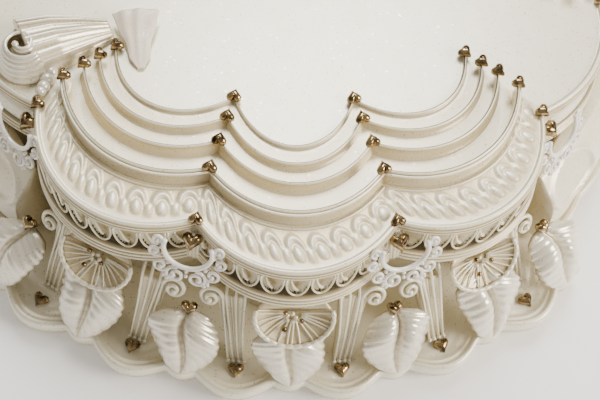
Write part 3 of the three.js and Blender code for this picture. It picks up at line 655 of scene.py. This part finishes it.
def leaf(top_angle, tip_angle, top_r, top_z, seed):
    """A leaf over length s and half-widths x: broad shoulders, a rounded tip and a gently waved edge. Each half
    is a pillow with fine ribs that sweep out and down, on two or three broad undulations."""
    draw = np.random.default_rng(seed)
    s = (1 - np.cos(np.pi * np.linspace(0.03, 0.985, 72)))[:, None] / 2
    x = np.linspace(-1, 1, 29)[None]
    wave = draw.uniform(0, 2 * np.pi)
    width = LEAF["half"] * np.sin(np.pi * s ** 0.88) ** 0.52
    phase = VEINS * (s - np.where(x < 0, 0.06, 0.26) * np.abs(x) ** 1.2)
    scallop = 0.05 * np.abs(np.sin(np.pi * phase)) * np.abs(x)
    width = width * (1 + scallop + 0.05 * np.sin(5 * s + wave + 2 * np.sign(x)))
    bend = 2.2 * np.sin(2 * np.pi * s * 0.8 + wave)
    rib = np.abs(np.sin(np.pi * phase)) ** 0.7
    body = np.clip(np.sin(np.pi * s), 0, 1) ** 0.5
    side = np.abs(x) ** 0.75
    pillow = 5.2 * np.sin(np.pi * side) ** 0.85 * body
    swell = 2.1 * np.sin(2 * np.pi * (1.5 * s - 0.4 * np.abs(x)) + wave + 1.8 * np.sign(x)) * np.abs(x) * body
    relief = 0.65 * rib * np.clip(np.abs(x) * 5, 0, 1) * np.clip((1.05 - np.abs(x)) * 5, 0, 1) * body
    groove = -0.9 * np.exp(-(x / 0.07) ** 2) * body
    z = top_z + (LEAF["tip_z"] - top_z) * s + LEAF["belly"] * np.sin(np.pi * s)
    lift = pillow + relief + groove + swell
    r = top_r + (LEAF_TIP_R - 1 - top_r) * s
    angle = top_angle + (tip_angle - top_angle) * s + np.degrees((x * width + bend * body) / r)
    face = at(angle, r + 0.55 * lift, z + 0.8 * lift)
    under = at(angle, r - 0.9, z - 1.3 - 0.3 * np.abs(x))
    # painted shade: between the ribs, deep in the midrib's groove and along the curled edges; the back darker
    shade = np.clip(0.35 - 0.4 * rib + 0.6 * np.exp(-(x / 0.1) ** 2) + 0.4 * (np.abs(x) > 0.96), 0, 1)
    return slab(face, under, shade, 0.8)


for k, (middle, side, tip, head, shift) in enumerate(both_sides(CUSP_LEAVES), 1):
    one = leaf(middle + side * head, middle + side * tip, LEAF["top_r"] + shift, LEAF["top_z"], k)
    piece(f"cusp_leaf_{k}", [one], petal_paste, "royal_icing", f"heart_leaf_{k}")


# The fans, one under each lobe's middle: a shallow cup with a beaded rim, painted cream as shade that
# deepens towards its middle, and lace threads piped across it from a small rosette with three gilt
# stamens. A flap at its head, also painted with shade, is stuck under the ledge, and the leaf below hangs from
# it.

FAN = {"r": 221, "z": 60, "radius": 20, "spread": 105, "lean": 42, "cup": 5, "squash": 0.8, "head": 11.2}
FLAP = {"low": 3.4, "wide": 19.3, "narrow": 13, "out": 4.6}
SPOKES = 15
STAMENS = [(-4.6, 2.4, 6.2), (3.6, -1.4, 6.8), (-4.9, -6.2, 6.4)]


def on_fan(out, turn, lift):
    """A place in the fan's plane: out from 0 to 1 along a ray, which the squash shortens downwards."""
    radius = FAN["radius"] * out
    return xyz(radius * np.sin(turn), -radius * FAN["squash"] * np.cos(turn), lift)


def fan(place, seed):
    """A cupped half disc, out of its plane by the cup times the radius squared, a flap that narrows upwards and
    sags by a parabola, and threads along the disc's rays."""
    draw = np.random.default_rng(seed)
    turn = np.radians(np.linspace(-FAN["spread"], FAN["spread"], 6 * SPOKES + 1))[:, None]
    out = np.linspace(0.01, 1, 12)[None]
    face = on_fan(out, turn, 0.6 + FAN["cup"] * out ** 2)
    # painted shade: the cup darkens towards its middle, and its back is dark
    parts = [slab(seated(place, face), seated(place, face - [0, 0, 1.4]), 1.05 - 0.35 * out, 1.0)]
    x = np.linspace(-1, 1, 15)[None]
    rise = np.linspace(0, 1, 5)[:, None]
    half = FLAP["wide"] + (FLAP["narrow"] - FLAP["wide"]) * rise
    up = FLAP["low"] + (FAN["head"] - FLAP["low"]) * rise
    flap = xyz(x * half, up, FLAP["out"] - 2.4 * rise - 2.6 * (1 - x ** 2))
    # the flap painted with an even shade
    parts.append(slab(seated(place, flap), seated(place, flap - [0, 0, 1.4]), 0.7, 0.7))
    for ray in np.radians(np.linspace(-FAN["spread"] + 6, FAN["spread"] - 6, SPOKES)):
        reach = np.linspace(0.2, 1, 8)
        ray = ray + 0.05 * draw.uniform(-1, 1) + 0.12 * (reach - 0.2) * draw.uniform(-1, 1)
        path = on_fan(reach, ray, 1.3 + FAN["cup"] * reach ** 2 + 0.5 * np.sin(np.pi * reach))
        parts.append(tube(seated(place, path), np.linspace(0.62, 0.42, 8), place[1][2], sides=6))
    around = np.radians(np.linspace(-FAN["spread"], FAN["spread"], 131))
    rim = on_fan(1.0, around, 1.6 + FAN["cup"])
    beads = 0.95 + 0.4 * np.abs(np.sin(around * 14))
    parts.append(tube(seated(place, rim), beads, place[1][2]))
    # five balls, a fifth of a turn apart
    for turn in 1.26 * np.arange(5):
        petal = [-1.4 + 2.4 * math.cos(turn), -1.6 + 2.4 * math.sin(turn), 2.8]
        parts.append(ball(seated(place, petal), 1.25))
    return parts


fans = [(panel * PANEL_TURN + middle, shift) for panel in range(PANELS) for middle, shift in LOBE_LEAVES]
for k, (angle, shift) in enumerate(fans, 1):
    hung = leaf(angle, angle, FAN["r"] + shift + 4, FAN["z"] - 6, 20 + k)
    piece(f"lobe_leaf_{k}", [hung], petal_paste, "royal_icing", f"fan_leaf_{k}")
    place = seat(angle, FAN["r"] + shift, FAN["z"], FAN["lean"])
    piece(f"fan_{k}", fan(place, 40 + k), royal_icing, "royal_icing", f"fan_leaf_{k}")


# The smooth cartouches between the piped panels, where the side is built out with icing: a shallow
# dish with a raised rim at each end, under the outer lace frames, over a skirt pinched into waves.

CARTOUCHE = {"half": 17.4, "low": 17, "high": 69, "back_r": 199}
SIDE_DISH = {"turn": 11.2, "half": 5.2, "z": 56, "rise": 10.5}


def cartouche(middle):
    """Radius over angle and height: a smooth belly through given radii, less a bowl inside each dish's ellipse,
    plus a bead on it; the bead's height over the ellipse is a bell curve."""
    u = np.linspace(-CARTOUCHE["half"], CARTOUCHE["half"], 141)[None]
    z = np.linspace(CARTOUCHE["low"], CARTOUCHE["high"], 60)[:, None]
    share = (z - CARTOUCHE["low"]) / (CARTOUCHE["high"] - CARTOUCHE["low"])
    belly = (216.5 + 2.5 * np.sin(np.pi * np.clip(share * 1.15, 0, 1))
             - 14 * np.clip(share - 0.55, 0, 1) ** 2 / 0.2)
    waves = 2.2 * np.abs(np.sin(np.radians(u) * 22)) * np.clip((45 - z) / 18, 0, 1)
    q = np.sqrt(((np.abs(u) - SIDE_DISH["turn"]) / SIDE_DISH["half"]) ** 2
                + ((z - SIDE_DISH["z"]) / SIDE_DISH["rise"]) ** 2)
    bowl = -3.2 * np.sqrt(np.clip(1 - q ** 2, 0, 1)) + 1.5 * np.exp(-((q - 1.08) / 0.09) ** 2)
    front = at(middle + u, belly + waves + bowl, z)
    # painted shade: darker in each dish's bowl, lighter on its bead, and dark on the back
    return slab(front, at(middle + u[:, ::140], CARTOUCHE["back_r"], z), np.clip(0.15 - bowl * 0.06, 0, 1), 1.0)


for k in range(PANELS):
    middle = k * PANEL_TURN + PANEL_TURN / 2
    piece(f"cartouche_wall_{k + 1}", [cartouche(middle)], royal_icing, "royal_icing", f"cartouche_{k + 1}")


# The lace frames, piped flat on film, dried, lifted and fixed upright in front of each cusp: a
# U-shaped arm hung with pairs of curled volutes, each ending in a ball. Lace icing is whiter.

FRAME = {"r": 216, "z": 84, "lean": 19, "rise": 3}
VOLUTES = [  # centre, outer radius, starting direction, turns, way round, thickness, ball
    ((5.4, -9.4), 5.3, 100, 1.35, -1, 0.95, 1.65),
    ((13.2, -4.6), 4.3, 190, 1.2, 1, 0.9, 1.5),
    ((16.4, 4.6), 3.5, 220, 1.1, 1, 0.9, 1.45),
    ((14.8, 12.6), 3.1, -90, 1.1, 1, 0.85, 1.4),
    ((9.4, -12.4), 2.2, 0, 0.8, 1, 0.8, 1.25),
]
BALLS = [(0, -5.6), (0, -9.0), (-9.6, -2.0), (9.6, -2.0), (-13.0, 7.6), (13.0, 7.6), (-11.0, -10.6),
         (11.0, -10.6)]

lace_icing = iced("lace_icing", "#F6F2EA", "#D8CDC2", 0.0, 0.35, 0.3, 0.16, 0.15)


def curl(centre, radius, start, turns, way):
    """A flat spiral from its outer end inwards: the radius shrinks evenly with the turn."""
    theta = np.linspace(0, 2 * np.pi * turns, int(20 * turns) + 6)
    rho = radius * (1 - 0.72 * theta / theta[-1])
    angle = math.radians(start) + way * theta
    return np.stack([centre[0] + rho * np.cos(angle), centre[1] + rho * np.sin(angle)], -1)


def lace(place):
    """Tubes along an arc and spirals in the frame's plane, raised a little in it, and a ball at each end."""
    place = (place[0] + FRAME["rise"] * place[1][1], place[1])
    parts = []

    def line(flat, radius, lift, end):
        """Adds a tube along a flat path and, unless end is 0, a ball at its end."""
        path = np.concatenate([flat, np.full((len(flat), 1), lift)], axis=1)
        parts.append(tube(seated(place, path), radius, place[1][2], sides=7))
        if end:
            parts.append(ball(seated(place, path[-1]), end, 8))

    around = np.radians(np.linspace(-200, 20, 33))
    line(np.stack([12.2 * np.cos(around), 9.5 + 12.0 * np.sin(around)], -1), 1.3, 1.8, 0)
    for side in (-1, 1):
        for centre, radius, start_turn, turns, way, thick, end in VOLUTES:
            line(curl(centre, radius, start_turn, turns, way) * [side, 1], thick, 1.2, end)
    for x, y in BALLS:
        parts.append(ball(seated(place, [x, y, 1.2]), 1.15, 6))
    return parts


for k, (angle, radius, _) in enumerate(cusps):
    place = seat(angle, FRAME["r"] + radius - EDGE["inner"], FRAME["z"], FRAME["lean"])
    piece(f"lace_scrolls_{k + 1}", lace(place), lace_icing, "lace_icing", f"lace_frame_{k + 1}")


# The gilt hearts, of sugar pressed in a mould and painted with an antique bronze-gold lustre, which
# is a metal powder: dark in the hollows and bright where the light catches the bulges.

HEART = 4.1
HEART_THICK = 2.8


def gilt(name, bright, dark):
    """Lustre paint: metallic, with a brushed, patchy dark glaze left in clouds of a few millimetres."""
    material, where = new_material(name)
    patches = node(material, "TexNoise", {"Scale": 1 / (3.5 * MM), "Detail": 2.0}, Vector=where).outputs["Fac"]
    share = node(material, "MapRange", {"From Min": 0.4, "From Max": 0.68}, Value=patches).outputs["Result"]
    colour = node(material, "Mix", {"data_type": "RGBA", 6: linear(bright), 7: linear(dark)},
                  i0=share).outputs[2]
    rough = node(material, "MapRange", {"To Min": 0.12, "To Max": 0.3}, Value=patches).outputs["Result"]
    tilt = node(material, "Bump", {"Strength": 0.2, "Distance": 0.25 * MM}, Height=patches).outputs["Normal"]
    shader = node(material, "BsdfPrincipled", {"Metallic": 1.0}, Base_Color=colour, Roughness=rough, Normal=tilt)
    node(material, "OutputMaterial", Surface=shader.outputs["BSDF"])
    return material


bronze_gold = gilt("bronze_gold_lustre", "#B39B72", "#2C2219")


def heart(place, scale=1.0):
    """A puffed heart: the usual heart curve shrunk by the cosine of a rise and lifted by its sine, with a dip
    at its cleft."""
    turn = np.linspace(0, 2 * np.pi, 18, endpoint=False)[None]
    rise = np.radians(np.array([-78, -45, -15, 15, 42, 64, 80]))[:, None]
    x = np.sin(turn) ** 3
    y = (13 * np.cos(turn) - 5 * np.cos(2 * turn) - 2 * np.cos(3 * turn) - np.cos(4 * turn)) / 16
    shrink = np.cos(rise) ** 0.8
    cleft = 1 - 0.35 * np.exp(-((np.angle(np.exp(1j * turn))) / 0.55) ** 2) * np.cos(rise)
    grid = xyz(HEART * x * shrink, HEART * (y * shrink + 0.05), HEART_THICK * np.sin(rise) * cleft)
    return sheet(seated(place, grid * scale), wrap=True)


top_hearts = []
for angle, radius, kind in cusps:
    turn = 180 if kind == "inner" else 0
    for line in LINES:
        top_hearts.append(heart(seat(angle, line[kind], TOP_Z + line["height"] + 0.8, 88, turn)))
    top_hearts.append(heart(seat(angle, radius - 1.8, TOP_Z + 2.4, 88, turn)))
    top_hearts.append(heart(seat(angle, radius + 6.2, TOP_Z - 7, 60), 1.3))
piece("tier_hearts", top_hearts, bronze_gold, "gilt_sugar")

board_hearts = []
for panel in range(PANELS):
    for dish in range(DISHES):
        angle = panel * PANEL_TURN + (dish + 0.5 - DISHES / 2) * DISH_PITCH
        board_hearts.append(heart(seat(angle, 241, BOARD_Z + 1.6, 80), 1.1))
piece("board_hearts", board_hearts, bronze_gold, "gilt_sugar")

mid_hearts = [heart(seat(middle + side * head, LEAF["top_r"] + shift + 0.5, LEAF["top_z"] + 3.5, 45), 1.1)
              for middle, side, _, head, shift in both_sides(CUSP_LEAVES)]
piece("mid_hearts", mid_hearts, bronze_gold, "gilt_sugar")

stamens = []
for angle, shift in fans:
    place = seat(angle, FAN["r"] + shift, FAN["z"], FAN["lean"])
    stamens += [ball(seated(place, spot), 1.5) for spot in STAMENS]
piece("stamens", stamens, bronze_gold, "gilt_sugar")


# The scroll and its swag, modelled in sugar paste: pleats gathered at one end, edged with a double
# bead, and rolled at the other into a ribbed volute round an open mouth, over a small nodule.

SWAG_FROM = (-50.4, 120.7)
SWAG_TO = (-54.4, 171.7)
# distance along, width to the left and to the right, and height
SWAG = [(5, 7, 6.5, 7), (18, 13, 9.5, 12), (34, 19, 13, 17), (50, 23, 15, 19)]
GAP = 0.3
PLEATS = 22
BEAD_ROWS = (0.62, 0.7)  # shares of the way over
MOUTH = 15.6             # radius of the roll's foot

start = at(*SWAG_FROM, TOP_Z + GAP)
end = at(*SWAG_TO, TOP_Z + GAP)
along = (end - start) / np.linalg.norm(end - start)
beside = np.array([-along[1], along[0], 0])
upward = np.array([0, 0, 1.0])

run = np.linspace(SWAG[0][0], SWAG[-1][0], 40)[:, None]
stations = np.array(SWAG)
left, right, tall = (np.interp(run, stations[:, 0], stations[:, k]) for k in (1, 2, 3))
turn = np.linspace(0, np.pi, 6 * PLEATS + 1)[None]
ridge = np.abs(np.sin(turn * PLEATS / 2))
lateral = right + (-left - right) * (1 - np.cos(turn)) / 2
lift = tall * np.sin(turn) ** 0.8 * 0.94 - 0.7 * ridge
swag_grid = (start + run[..., None] * along + lateral[..., None] * beside
             + np.maximum(lift, 0)[..., None] * upward)
# painted shade in the folds between the pleats
swag_parts = [sheet(swag_grid, wrap=True, painted_shade=0.75 * ridge + 0 * run)]
for share in BEAD_ROWS:
    spot = int(share * swag_grid.shape[1])
    swag_parts.append(tube(swag_grid[:, spot] + 0.5 * upward, 0.8, upward, sides=7))


def volute(centre):
    """A rolled wall: a spiral lip that grows with its turn, flaring down and out to its foot in ribs."""
    theta = np.linspace(0, 2 * np.pi * 1.35, 70)[:, None]
    down = np.linspace(0, 1, 26)[None]
    lip = 3.2 + 7.5 * (theta / theta[-1]) ** 1.2
    ribs = np.abs(np.sin(down * 5 * np.pi))
    rho = lip + (MOUTH - lip) * down ** 0.8 * (0.5 + 0.5 * theta / theta[-1]) + 0.5 * ribs
    height = 16.3 - 15.6 * down ** 1.3
    angle = theta + math.radians(200)
    outer = xyz(rho * np.cos(angle), rho * np.sin(angle), height)
    inner = outer * [0.86, 0.86, 1.0] - [0, 0, 0.2]
    edge_line = centre + xyz(lip * np.cos(angle), lip * np.sin(angle), 16.4)[:, 0] * [0.95, 0.95, 1]
    # painted shade between the ribs, and on the inner wall
    return [slab(centre + outer, centre + inner, 0.5 - 0.5 * ribs, 0.9),
            tube(edge_line, 0.95, upward), ball(edge_line[0], 1.9)]


swag_parts += volute(end)
nodule_spots = at(np.array([-49.5, -48.6, -47.8, -47.3]), np.array([166, 170, 174, 177]), TOP_Z + 2.6)
swag_parts += [ball(spot, 4.2 - 0.4 * k, 10, 0.9) for k, spot in enumerate(nodule_spots)]
piece("scroll_and_swag", swag_parts, petal_paste, "royal_icing", "top_scroll")


# The petal, of wafer paper brushed with glitter, thin enough to let light through, leaning on the
# swag's gathered end.

PETAL_FROM = (-49.8, 110, TOP_Z + 6)
PETAL_TO = (-37.6, 131.2, TOP_Z + 1)
# share of the length, and half the width
PETAL_WIDTH = [(0, 12.5), (0.33, 9.5), (0.55, 6.5), (0.8, 5.5), (1, 1.5)]


def wafer(name, face, shade):
    """Wafer paper: a thin translucent sheet, with glitter as tiny cells of a mirror-smooth finish."""
    material, where = new_material(name)
    cells = node(material, "TexVoronoi", {"Scale": 1 / (0.7 * MM)}, Vector=where)
    cloud = node(material, "TexNoise", {"Scale": 1 / (6 * MM), "Detail": 2.0}, Vector=where).outputs["Fac"]
    colour = node(material, "Mix", {"data_type": "RGBA", 6: linear(face), 7: linear(shade)}, i0=cloud).outputs[2]
    pick = node(material, "SeparateColor", Color=cells.outputs["Color"]).outputs
    spark = node(material, "Math", {"operation": "GREATER_THAN", 1: 0.8}, i0=pick[0]).outputs[0]
    rough = node(material, "MapRange", {"To Min": 0.35, "To Max": 0.08}, Value=spark).outputs["Result"]
    tilt = node(material, "Bump", {"Strength": 0.5, "Distance": 0.2 * MM}, Height=pick[1]).outputs["Normal"]
    shader = node(material, "BsdfPrincipled", {
        "IOR": 1.45, "Transmission Weight": 0.08, "Subsurface Weight": 0.3, "Subsurface Scale": 1 * MM,
    }, Base_Color=colour, Roughness=rough, Normal=tilt)
    node(material, "OutputMaterial", Surface=shader.outputs["BSDF"])
    return material


wafer_paper = wafer("glittered_wafer_paper", "#FBF5E8", "#EBDCC2")

begin, finish_point = at(*PETAL_FROM), at(*PETAL_TO)
petal_way = finish_point - begin
petal_side = np.array([-petal_way[1], petal_way[0], 0]) / np.linalg.norm(petal_way[:2])
s = np.linspace(0, 1, 40)[:, None]
x = np.linspace(-1, 1, 31)[None]
width = np.interp(s, *np.array(PETAL_WIDTH).T)
crown = (3 * (1 - s) * (1 - x ** 2) + 0.8 * np.sin(9 * x + 3 * s) * (1 - s) * 0.5
         + 0.9 * np.sin(14 * s) * (1 - s) * 0.4)
petal_grid = (begin + s[..., None] * petal_way + (x * width)[..., None] * petal_side
              + (crown + 0.9)[..., None] * upward)
piece("petal", [slab(petal_grid, petal_grid - [0, 0, 0.8], 0.0, 0.0)], wafer_paper, "wafer", "wafer_petal")


# Floor, light and camera: a pale seamless table top that glows faintly, a soft key light above and
# behind the cake, a warmer one from the right, and the camera looking steeply down at its front.

FLOOR_GREY = "#F6F6F6"
ELEVATION = 61.7
HEADING = 8.95
ROLL = 8.42
DISTANCE = 0.4956
TARGET = np.array([0.0016, -0.1802, 0.1])
LENS = 60

table, where = new_material("pale_table")
mottle = node(table, "TexNoise", {"Scale": 4.0}, Vector=where).outputs["Fac"]
table_rough = node(table, "MapRange", {"To Min": 0.75, "To Max": 0.85}, Value=mottle).outputs["Result"]
table_shader = node(table, "BsdfPrincipled", {
    "Base Color": linear(FLOOR_GREY), "Emission Color": (1, 1, 1, 1), "Emission Strength": 0.24,
}, Roughness=table_rough)
node(table, "OutputMaterial", Surface=table_shader.outputs["BSDF"])
floor_mesh = bpy.data.meshes.new("floor")
floor_mesh.from_pydata([(-4, -4, 0), (4, -4, 0), (4, 4, 0), (-4, 4, 0)], [], [(0, 1, 2, 3)])
floor_mesh.materials.append(table)
floor = bpy.data.objects.new("floor", floor_mesh)
bpy.context.scene.collection.objects.link(floor)


def soft_light(name, place, aim, size, watts, colour):
    """A square area light whose own -Z axis points from its place to its aim."""
    light = bpy.data.lights.new(name, "AREA")
    light.size = size
    light.energy = watts
    light.color = linear(colour)[:3]
    obj = bpy.data.objects.new(name, light)
    ahead = np.array(aim, float) - place
    back = -ahead / np.linalg.norm(ahead)
    right = np.cross([0.0, 1.0, 0.001], back)
    right /= np.linalg.norm(right)
    axes = np.column_stack([right, np.cross(back, right), back])
    obj.matrix_world = Matrix.Translation(place) @ Matrix(axes.tolist()).to_4x4()
    bpy.context.scene.collection.objects.link(obj)


soft_light("key", (0.12, 0.6, 1.25), (0, -0.1, 0.05), 0.6, 20.5, "#FFFDFA")
soft_light("fill", (1.4, -0.55, 0.9), (0, -0.15, 0.05), 0.8, 46, "#FFF6EA")
world = bpy.data.worlds.new("studio")
world.use_nodes = True
world.node_tree.nodes["Background"].inputs["Color"].default_value = linear("#F4ECE0")
world.node_tree.nodes["Background"].inputs["Strength"].default_value = 0.44
bpy.context.scene.world = world

heading, tilt, roll = (math.radians(v) for v in (HEADING, ELEVATION, ROLL))
forward = np.array([math.sin(heading) * math.cos(tilt), math.cos(heading) * math.cos(tilt), -math.sin(tilt)])
level = np.array([math.cos(heading), -math.sin(heading), 0])
above = np.cross(level, forward)
cam_x = math.cos(roll) * level + math.sin(roll) * above
cam_y = math.cos(roll) * above - math.sin(roll) * level
camera_data = bpy.data.cameras.new("camera")
camera_data.lens = LENS
camera_data.sensor_width = 36
camera_data.clip_start = 0.01
camera = bpy.data.objects.new("camera", camera_data)
axes = np.column_stack([cam_x, cam_y, -forward])
camera.matrix_world = Matrix.Translation(TARGET - DISTANCE * forward) @ Matrix(axes.tolist()).to_4x4()
bpy.context.scene.collection.objects.link(camera)
bpy.context.scene.camera = camera
